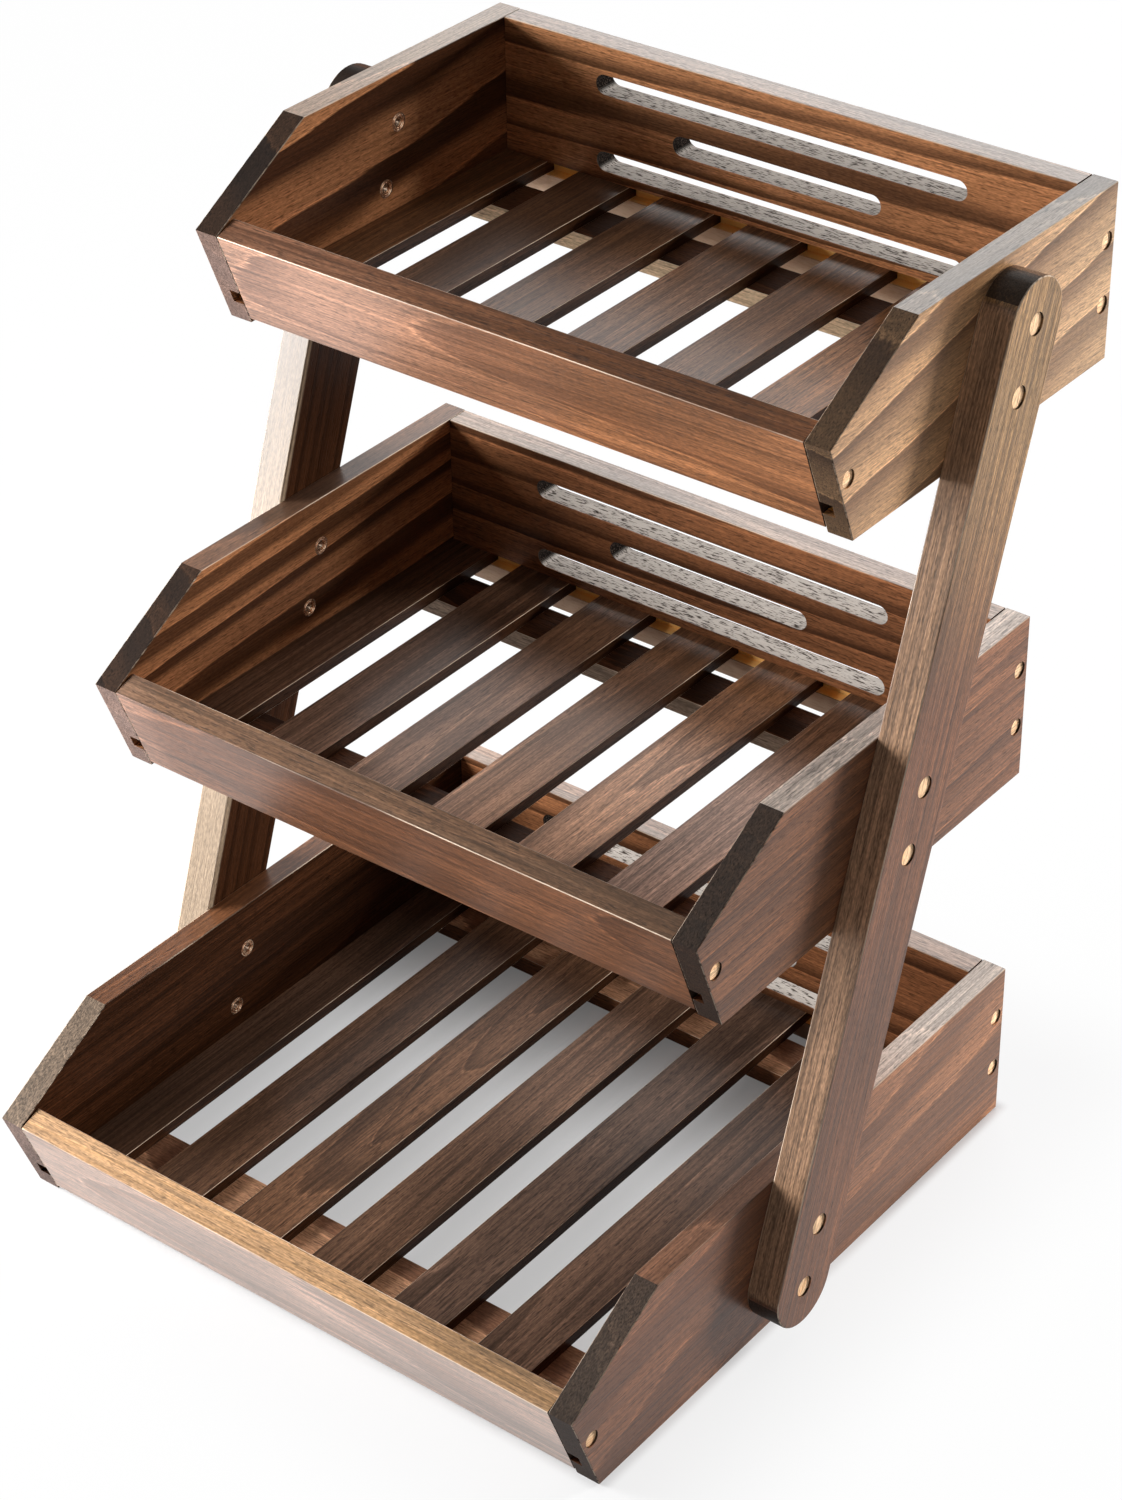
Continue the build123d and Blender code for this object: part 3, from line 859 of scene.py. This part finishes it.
# Low pales the left ends and High darkens the right one: painted reflection and painted shade.
FRONT_LOOKS = {
    "top": {
        "Spring": stained(0.31), "Summer": stained(0.16), "Low": (1, 1.2, 1.7, 1),
        "High": (0.95, 0.92, 0.85, 1), "From": -0.12, "To": 0.06, "Edge": 0.6, "SapAndSheen": stained(0.12),
        "Coat": 1.0, "Side": 0.05},
    "middle": {
        "Spring": stained(0.17), "Summer": stained(0.09), "Low": (1.6, 2.0, 2.9, 1), "From": -0.15,
        "To": -0.12, "Ring": 0.010, "Edge": 0.7, "SapAndSheen": (0.13, 0.08, 0.048, 1), "Side": 0.3},
    "bottom": {
        "Spring": (0.41, 0.245, 0.17, 1), "Summer": (0.25, 0.12, 0.065, 1), "Edge": 0.75,
        "SapAndSheen": (0.42, 0.24, 0.10, 1), "Coat": 1.0, "Lustre": 2.0, "Side": 0.14},
}
for index, (tray, look) in enumerate(FRONT_LOOKS.items()):
    seed = 2.11 * index + 9.2
    board_material(tray + "_front_board", seed, dict(FRONT_LOOK, **look), front_bare(tray))
print("front boards dressed:", len(FRONT_LOOKS))

# %% [markdown]
# ## Back boards
# A back board has three long slots, cut by a router with a round bit. The cutter leaves torn
# fibres that took the stain in specks, so a slot's wall is a pale rough grey with black dots,
# whose paleness is partly painted light from behind. Its round ends are end grain and dark, which
# is partly painted shade. The face below the floor is as rough, and the groove for the floor is
# bare.

# %% Slot walls
BACK_GROOVE_DEPTH = 6.2 * MM
# The pale wall is partly painted light, and the dark round ends partly painted shade.
SLOT_PALE = paint(190, 182, 174)
SLOT_DARK = paint(66, 56, 50)
SLOT_END = paint(14, 11, 9)
SLOT_SKIN = 0.3 * MM
SLOT_FROM_SIDES = 8 * MM
SLOT_FROM_TOP = 4 * MM
SLOT_FROM_FLOOR = 1 * MM
SLOT_ROUGHNESS = 0.7
SLOT_INPUTS = ("Base Color", "Roughness", "Coat Weight")
TORN_FACE = paint(186, 158, 134)
TORN_FACE_SHARE = 0.9
TORN_FACE_ROOM = 1 * MM
TORN_FEATURES = (260.0, 1400.0, 1400.0)
TORN_LIMITS = (0.34, 0.5)
FACING_SIDEWAYS = (0.3, 0.8)


def back_bare(tray):
    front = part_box(tray + "_back_board")[0].y

    def bare(tree, position, facing):
        _, y, z = parts(tree, position)
        depth = between(tree, y, front + FACE_SKIN, front + BACK_GROOVE_DEPTH)
        return product(tree, depth, between(tree, z, *groove_heights(tray)))
    return bare


def slot_masks(tray, tree, position):
    """Where the slot walls of a back board are, and where its front face below the floor is."""
    low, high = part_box(tray + "_back_board")
    floor_low, floor_top = groove_heights(tray)
    x, y, z = parts(tree, position)
    walls = product(
        tree,
        between(tree, x, low.x + SLOT_FROM_SIDES, high.x - SLOT_FROM_SIDES),
        between(tree, y, low.y + SLOT_SKIN, high.y - SLOT_SKIN),
        between(tree, z, floor_top + SLOT_FROM_FLOOR, high.z - SLOT_FROM_TOP),
    )
    at_front = between(tree, y, low.y - TORN_FACE_ROOM, low.y + TORN_FACE_ROOM)
    return walls, product(tree, at_front, between(tree, z, low.z, floor_low))


def add_slot_walls(tray):
    """Lays torn grey on a back board's slot walls, partly painted light, and its face below the floor.
    """
    tree = nodes[tray + "_back_board"].data.materials[0].node_tree
    shader = tree.nodes["Principled BSDF"]
    position = tree.nodes.new("ShaderNodeTexCoord").outputs["Object"]
    facing = tree.nodes.new("ShaderNodeNewGeometry").outputs["True Normal"]
    walls, below = slot_masks(tray, tree, position)
    mask = calc(tree, "MAXIMUM", walls, below)
    torn = noise(tree, aim(tree, "MULTIPLY", position, TORN_FEATURES), 2.0)
    sideways = calc(tree, "ABSOLUTE", parts(tree, facing)[0])
    pale = mix(tree, ease(tree, sideways, *FACING_SIDEWAYS), SLOT_PALE, SLOT_END)
    wall = mix(tree, ease(tree, torn, *TORN_LIMITS), SLOT_DARK, pale)
    wall = mix(tree, product(tree, below, TORN_FACE_SHARE), wall, TORN_FACE)
    colour, roughness, lacquer = (shader.inputs[label].links[0].from_socket for label in SLOT_INPUTS)
    rough = calc(tree, "MAXIMUM", roughness, product(tree, mask, SLOT_ROUGHNESS))
    matt = product(tree, lacquer, calc(tree, "SUBTRACT", 1.0, mask))
    for label, value in zip(SLOT_INPUTS, (mix(tree, mask, colour, wall), rough, matt)):
        tree.links.new(value, shader.inputs[label])


print("depth of the back boards' groove:", BACK_GROOVE_DEPTH)

# %% Back boards
# The back boards are darker on their rear faces, which is painted shade, and their pale grey top edges
# are a painted sheen.
BACK_FIGURE = dict(
    DEEP, Pith=(0, 0.09, -0.03), Drift=(0, 0.02, 0), Ring=0.017, Sway=0.012, Share=0.55, Soft=0.5,
    Contrast=0.8, SapAndSheen=paint(176, 160, 148), OuterShade=0.7)
BACK_LOOKS = {
    "top": {"Spring": stained(0.42), "Edge": 0.7, "Share": 0.45},
    "middle": {"Spring": stained(0.22), "Edge": 0.7},
    "bottom": {"Spring": stained(0.24), "Edge": 0.5},
}
for index, (tray, look) in enumerate(BACK_LOOKS.items()):
    seed = 1.73 * index + 17.5
    board_material(tray + "_back_board", seed, dict(BACK_FIGURE, **look), back_bare(tray))
    add_slot_walls(tray)
print("back boards dressed:", len(BACK_LOOKS))

# %% [markdown]
# ## Slats
# The slats are thin strips from many boards, so their pith and tone step from strip to strip,
# and one in seven shows tight arches. Typing in three times seven looks would be dull work, so
# a rule makes them. In the two upper trays the front halves are paler and greyer, more so towards
# the right, which is painted light and sheen.

# %% Slats
SLAT_TONES = {"top": 0.20, "middle": 0.165, "bottom": 0.125}
SLAT_GREYS = {"top": 0.45, "middle": 0.50, "bottom": 0.53}
SLAT_COATS = {"top": 0.45, "middle": 0.4, "bottom": 0.15}
SLAT_FRONT_LIGHT = {"top": 0.2, "middle": 0.3, "bottom": 0.0}
SLAT_STEPS = (0.95, 1.10, 1.15, 1.0, 0.75, 0.85, 0.85)
PITH_TURN = 2.39996
SLAT_LOOK = {
    "Ring": 0.006, "Contrast": 0.7, "Blotch": 0.5, "Soft": 0.5, "Brush": 0.4, "Comb": 0.6,
    "SapAndSheen": stained(0.03), "Edge": 0.9, "RubAndGlint": 1.0, "Side": 0.3, "Specular": 0.05,
    "From": 0.0, "To": 0.06}
ARCHED = {"Pith": (0, 0.004, -0.03), "Drift": (0, 0.01, 0.05), "Ring": 0.0035, "Contrast": 0.9}


def slat_look(tray_index, tray, number):
    turn = PITH_TURN * (number + SLAT_COUNT * tray_index)
    step = SLAT_STEPS[(number + 2 * tray_index + 2) % SLAT_COUNT]
    tone = SLAT_TONES[tray] * step
    grey = SLAT_GREYS[tray] + 0.2 * (1 - step)
    # Paler, greyer front halves: painted light and sheen.
    wear_and_light = 1 + SLAT_FRONT_LIGHT[tray] * (number - 1)
    look = dict(
        SLAT_LOOK, Pith=(0, 0.03 * math.cos(turn), -0.02 - 0.02 * math.sin(turn) ** 2),
        Drift=(0, 0.05 * math.sin(turn), 0.03 * math.cos(turn)),
        Spring=worn_brown(tone, grey), Summer=worn_brown(tone / 2, grey),
        Low=(wear_and_light, wear_and_light ** 1.2, wear_and_light ** 1.5, 1), Coat=SLAT_COATS[tray])
    if step == max(SLAT_STEPS):
        look.update(ARCHED)
    return look


for tray_index, tray in enumerate(TRAYS):
    for number in range(1, SLAT_COUNT + 1):
        seed = 0.77 * number + 31.0 + 6 * tray_index
        board_material("%s_slat_%d" % (tray, number), seed, slat_look(tray_index, tray, number))
print("slats dressed:", SLAT_COUNT * len(TRAYS))

# %% [markdown]
# ## Rails
# The rails below the slats got no lacquer, and their edges were left as the saw cut them. In the
# two upper trays their tops are dark, which is painted shade from the slats above. Those of the
# bottom tray took the least stain.

# %% Rails
# Dark tops in the upper trays are painted shade from the slats above.
RAIL_LOOKS = {
    "top": {"Spring": stained(0.09), "SapAndSheen": paint(196, 170, 138)},
    "middle": {"Spring": stained(0.09), "SapAndSheen": paint(140, 120, 102)},
    "bottom": {"Spring": paint(166, 124, 94), "Summer": paint(124, 86, 64), "SapAndSheen": stained(0.16)},
}
for index, (tray, look) in enumerate(RAIL_LOOKS.items()):
    seed = 1.9 * index + 61.0
    look = dict(look, Edge=1.0, Gloss=0.6, Coat=0.0)
    for end_name in ("front", "rear"):
        board_material("%s_%s_rail" % (tray, end_name), seed, look)
print("rails dressed:", 2 * len(RAIL_LOOKS))

# %% [markdown]
# ## Legs
# The legs are the thickest boards, with upright fibre and fine straight rings. The right one is
# paler and greyer towards its top, which is painted light and reflection. The left one shows a
# pale edge of sapwood to the front, and is darker towards its top, which is painted shade.

# %% Legs
# The right leg's Low and High are painted light and reflection, and the left leg's High is painted
# shade.
LEG_LOOKS = {
    "right": {
        "Pith": (0, 0.06, -0.05), "Drift": (0, 0, 0.01), "Ring": 0.0035, "Sway": 0.004, "Soft": 0.5,
        "Contrast": 0.75, "Spring": (0.215, 0.105, 0.046, 1), "Summer": (0.12, 0.055, 0.024, 1),
        "Low": (0.75, 0.58, 0.54, 1), "High": (1.8, 2.1, 2.0, 1), "From": 0.04, "To": 0.19,
        "Comb": 0.8, "Speck": 0.5, "Edge": 0.95, "SapAndSheen": (0.36, 0.21, 0.122, 1), "Coat": 0.5,
        "End": (0.17, 0.095, 0.056, 1)},
    "left": dict(
        DEEP, Pith=(0, 0.06, 0), Drift=(0, 0, 0.02), Ring=0.008, Sway=0.002, Sapwood=0.078,
        High=(0.33, 0.30, 0.27, 1), Spring=stained(0.05), Summer=stained(0.02), Contrast=0.6,
        SapAndSheen=paint(162, 141, 118), End=stained(0.12), Brush=0.12, Comb=0.25, Fleck=0.15, Blotch=0.15),
}
for side, look in LEG_LOOKS.items():
    seed = 71.3 + len(side)
    board_material(side + "_leg", seed, look)
print("legs dressed:", len(LEG_LOOKS))

# %% [markdown]
# ## Wood plugs
# Every counterbore is closed by a plug of clear pine, tapped in a little below the face. It
# never got any stain, so it shows as a pale dot, with a darker rim.
# The plugs are set with their fibre in line with the board, so they borrow its axes.

# %% Wood plugs
PLUG_LOOK = {
    "Spring": paint(252, 210, 166), "Summer": paint(234, 176, 122), "Ring": 0.002, "Share": 0.4,
    "Contrast": 0.5, "WornAndGlint": paint(126, 88, 54), "RubAndGlint": 0.8, "Fleck": 0.3, "Blotch": 0.2,
    "Gloss": 0.6, "Coat": 0.1}
for index, tray in enumerate(TRAYS):
    seed = 3.1 * index + 83.0
    for kind, board in (("bolt", "right_leg"), ("screw", tray + "_right_panel")):
        board_material("%s_%s_plugs" % (tray, kind), seed, PLUG_LOOK, axes=board_axes(board))
print("nodes of plugs dressed:", 2 * len(TRAYS))

# %% [markdown]
# ## Metal
# The nuts are turned brass inserts and the bolts are dull zinc. Turning leaves rings that are
# too fine to model, so they are a little noise in the roughness and the bump.

# %% Metal finishes
METAL_SHARE = 0.85
PATCH_FEATURES = (900.0, 900.0, 900.0)
PATCH_LIMITS = (0.35, 0.65)
TURNING_FEATURES = (6000.0, 2500.0, 2500.0)
TURNING_DEPTH = 0.05 * MM
TURNING_STRENGTH = 0.3
TURNING_ROUGHER_BY = 0.2


def metal(name, bright, wear_and_light, smoothest):
    """A turned metal in two tones. The last value is its roughness where it is smoothest."""
    material = bpy.data.materials.new(name)
    material.use_nodes = True
    tree = material.node_tree
    shader = tree.nodes["Principled BSDF"]
    position = tree.nodes.new("ShaderNodeTexCoord").outputs["Object"]
    patch = noise(tree, aim(tree, "MULTIPLY", position, PATCH_FEATURES), 3.0)
    fine = noise(tree, aim(tree, "MULTIPLY", position, TURNING_FEATURES), 2.0)
    colour = mix(tree, ease(tree, patch, *PATCH_LIMITS), wear_and_light, bright)
    roughness = calc(tree, "MULTIPLY_ADD", fine, TURNING_ROUGHER_BY, smoothest)
    bump = {"Height": fine, "Distance": TURNING_DEPTH, "Strength": TURNING_STRENGTH}
    bump = add(tree, "ShaderNodeBump", bump).outputs[0]
    for label, value in (("Base Color", colour), ("Roughness", roughness), ("Normal", bump)):
        tree.links.new(value, shader.inputs[label])
    shader.inputs["Metallic"].default_value = METAL_SHARE
    return material


BRASS = metal("turned_brass", paint(255, 226, 196), paint(226, 180, 146), 0.04)
ZINC = metal("dull_zinc", paint(222, 198, 176), paint(120, 98, 80), 0.12)
for tray in TRAYS:
    for group_name in ("board_screws", "slat_nails"):
        nodes["%s_%s" % (tray, group_name)].data.materials.clear()
        nodes["%s_%s" % (tray, group_name)].data.materials.append(ZINC)
print("metal finishes:", BRASS.name, ZINC.name)

# %% [markdown]
# ## Where the nuts and bolts are
# Each tray's bolts share one node, and so do its nuts. Their places are read back from the
# metal itself: points that lie close together, seen from the side, belong to one fastener, and
# the middle of such a cluster is its axis.

# %% Fastener axes
FASTENER_REACH = 12 * MM


def fastener_boxes(name, side):
    """The box of each fastener of a node on one side, as (lowest corner, highest corner) pairs."""
    clusters = []
    for vertex in nodes[name].data.vertices:
        if (vertex.co.x > 0) != (side == "right"):
            continue
        flat = vertex.co.yz
        near = [cluster for cluster in clusters if (cluster[0].yz - flat).length < FASTENER_REACH]
        if near:
            near[0].append(vertex.co.copy())
        else:
            clusters.append([vertex.co.copy()])
    boxes = []
    for cluster in clusters:
        low = Vector(min(point[axis] for point in cluster) for axis in range(3))
        high = Vector(max(point[axis] for point in cluster) for axis in range(3))
        boxes.append((low, high))
    return boxes


def tray_holes(kind):
    """The boxes of one kind of fastener, by tray and by side."""
    return {tray: {side: fastener_boxes(tray + kind, side) for side in SIDES} for tray in TRAYS}


BOLT_HOLES = tray_holes("_leg_bolts")
NUT_HOLES = tray_holes("_insert_nuts")
for label, trays in (("bolt", BOLT_HOLES), ("nut", NUT_HOLES)):
    for tray, holes in trays.items():
        print(tray, label, "axes on each side:", [len(found) for found in holes.values()])

# %% [markdown]
# ## Work on the lathe
# Nuts and bolts come off a lathe, so they are made like that here: half of the section is drawn
# once, as distances along the axis and from it, and spun right round. The threads are rings
# rather than a helix, which nobody can tell in a hole of this size.

# %% Lathe helpers
TURN_STEPS = 48
THREAD_PITCH = 0.8 * MM
SAME_POINT = 0.001 * MM


def curve(along, radius, size, first, last, steps=6):
    """Points of an arc in the section, from one angle in degrees to another. Zero is outwards."""
    turns = [math.radians(first + (last - first) * step / steps) for step in range(steps + 1)]
    return [(along - size * math.sin(turn), radius + size * math.cos(turn)) for turn in turns]


def thread(start, stop, crest, root):
    """The zigzag of a thread in the section."""
    points = []
    for number in range(int((stop - start) / THREAD_PITCH)):
        points.append((start + number * THREAD_PITCH, crest))
        points.append((start + (number + 0.5) * THREAD_PITCH, root))
    return points + [(stop, crest)]


def turned_on_lathe(section, closed):
    """A new shape: the section spun round the X axis."""
    shape = bmesh.new()
    points = [shape.verts.new((along, radius, 0.0)) for along, radius in section]
    lines = [shape.edges.new(pair) for pair in zip(points, points[1:])]
    if closed:
        lines.append(shape.edges.new((points[-1], points[0])))
    bmesh.ops.spin(shape, geom=points + lines, cent=(0, 0, 0), axis=(1, 0, 0), angle=math.tau,
                   steps=TURN_STEPS, use_merge=True)
    bmesh.ops.remove_doubles(shape, verts=shape.verts, dist=SAME_POINT)
    return shape


print("lathe steps for a full turn:", TURN_STEPS)

# %% [markdown]
# ## A copy in every hole
# The turned pieces replace the plain ones of the frame. A tray's four nuts are one piece again,
# and so are its four bolts, with those on the left mirrored. A spin numbers its points in a new
# order on each run, so they are sorted at the end, and the mesh comes out the same every time.

# %% Placing fasteners
SHARP_ANGLE = 35


def put_in_order(items, measure):
    """Sorts the points, lines or faces of a shape by a measure that no two of them share."""
    ranks = {item: rank for rank, item in enumerate(sorted(items, key=measure))}
    items.sort(key=ranks.get)
    items.index_update()


def copied_to_holes(template, holes, inner_end):
    """A new shape with a copy of the template at each hole, its start at the hole's inner end."""
    joined = bmesh.new()
    for side in SIDES:
        outward = 1 if side == "right" else -1
        for low, high in holes[side]:
            first = len(joined.verts)
            joined.from_mesh(template)
            joined.verts.ensure_lookup_table()
            middle = (low + high) / 2
            place = Matrix.Translation((outward * inner_end, middle.y, middle.z))
            place = place @ Matrix.Diagonal((outward, 1, 1, 1))
            bmesh.ops.transform(joined, matrix=place, verts=joined.verts[first:])
    bmesh.ops.recalc_face_normals(joined, faces=joined.faces)
    put_in_order(joined.verts, lambda point: tuple(point.co))
    for items in (joined.edges, joined.faces):
        put_in_order(items, lambda item: sorted(point.index for point in item.verts))
    return joined


def place_fasteners(name, material, shape, holes):
    """One object with a copy of the shape at each hole of a tray."""
    template = bpy.data.meshes.new(name + "_template")
    shape.to_mesh(template)
    shape.free()
    joined = copied_to_holes(template, holes, holes["right"][0][0].x)
    bpy.data.meshes.remove(template)
    mesh = bpy.data.meshes.new(name)
    joined.to_mesh(mesh)
    joined.free()
    mesh.polygons.foreach_set("use_smooth", [True] * len(mesh.polygons))
    mesh.set_sharp_from_angle(angle=math.radians(SHARP_ANGLE))
    mesh.materials.append(material)
    piece = bpy.data.objects.new(name, mesh)
    scene.collection.objects.link(piece)
    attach(piece, "root")
    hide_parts(name.replace("turned_", ""))
    print(piece.name, "faces:", len(mesh.polygons))


def length_and_radius(holes):
    """The length of a tray's fasteners and half their width, from the first one."""
    low, high = holes["right"][0]
    return high.x - low.x, (high.z - low.z) / 2


for tray in TRAYS:
    print(tray, "length of a bolt:", round(length_and_radius(BOLT_HOLES[tray])[0], 4))

# %% [markdown]
# ## Insert nuts
# The nuts show on the inner faces of the trays as bright rings: a rolled rim, a sunk ring and a
# collar round the threaded hole.

# %% Insert nuts
RIM_SIZE = 0.42 * MM
COLLAR_SIZE = 0.32 * MM
RING_DEPTH = 1.4 * MM
NUT_BORE = 2.55 * MM
NUT_THREAD = 2.75 * MM


def nut_shape(length, radius):
    rim = curve(RIM_SIZE, radius - RIM_SIZE, RIM_SIZE, 0, 180)
    collar = curve(COLLAR_SIZE, NUT_BORE + COLLAR_SIZE, COLLAR_SIZE, 0, 180)
    section = [(length, radius)] + rim
    section += [(RING_DEPTH, rim[-1][1]), (RING_DEPTH, collar[0][1])] + collar
    section += thread(2 * COLLAR_SIZE, length, NUT_BORE, NUT_THREAD)
    return turned_on_lathe(section, closed=True)


for tray, holes in NUT_HOLES.items():
    shape = nut_shape(*length_and_radius(holes))
    place_fasteners("turned_%s_insert_nuts" % tray, BRASS, shape, holes)

# %% [markdown]
# ## Leg bolts
# Of a bolt, only the end shows, just inside its nut. It is hollowed to a small cup. The head
# lies under a plug and has a six-sided socket, which no lathe can cut: a ring of six sides is
# joined to the round rim of the head, and its walls are pushed in from there.

# %% Leg bolts
CUP_DEPTH = 1.2 * MM
CUP_FLOOR = 0.4 * MM
CUP_RADIUS = 1.5 * MM
END_ROUND = 0.1 * MM
END_RADIUS = 1.9 * MM
THREAD_START = 0.55 * MM
THREAD_END = 9.0 * MM
THREAD_ROOT = 2.2 * MM
SHANK_RADIUS = 2.5 * MM
HEAD_HEIGHT = 4.5 * MM
HEAD_ROUND = 0.5 * MM
SOCKET_SIDES = 6
SOCKET_CORNER = 2.31 * MM
SOCKET_DEPTH = 2.5 * MM
SOCKET_RIM = 2.9 * MM


def cut_socket(shape, length):
    """Closes the open head of a bolt with a six-sided socket."""
    rim = [edge for edge in shape.edges if edge.is_boundary]
    upright = Matrix.Translation((length, 0, 0)) @ Matrix.Rotation(math.pi / 2, 4, "Y")
    bmesh.ops.create_circle(shape, segments=SOCKET_SIDES, radius=SOCKET_CORNER, matrix=upright)
    sides = [edge for edge in shape.edges if edge.is_wire]
    cuts = TURN_STEPS // SOCKET_SIDES - 1
    divided = bmesh.ops.subdivide_edges(shape, edges=sides, cuts=cuts)["geom"]
    sides = [item for item in divided if isinstance(item, bmesh.types.BMEdge)]
    bmesh.ops.bridge_loops(shape, edges=rim + sides)
    walls = bmesh.ops.extrude_edge_only(shape, edges=sides)["geom"]
    lowered = [item for item in walls if isinstance(item, bmesh.types.BMVert)]
    bmesh.ops.translate(shape, verts=lowered, vec=(-SOCKET_DEPTH, 0, 0))
    bmesh.ops.contextual_create(shape, geom=[edge for edge in shape.edges if edge.is_boundary])


def bolt_shape(length, head_radius):
    seat = length - HEAD_HEIGHT
    section = [(CUP_DEPTH, 0.0), (CUP_DEPTH, CUP_FLOOR), (END_ROUND, CUP_RADIUS)]
    section += [(0.0, CUP_RADIUS + END_ROUND), (0.0, END_RADIUS)]
    section += thread(THREAD_START, THREAD_END, SHANK_RADIUS, THREAD_ROOT)
    section += [(seat, SHANK_RADIUS), (seat, head_radius)]
    section += curve(length - HEAD_ROUND, head_radius - HEAD_ROUND, HEAD_ROUND, 0, -90)
    section.append((length, SOCKET_RIM))
    shape = turned_on_lathe(section, closed=False)
    cut_socket(shape, length)
    return shape


for tray, holes in BOLT_HOLES.items():
    shape = bolt_shape(*length_and_radius(holes))
    place_fasteners("turned_%s_leg_bolts" % tray, ZINC, shape, holes)
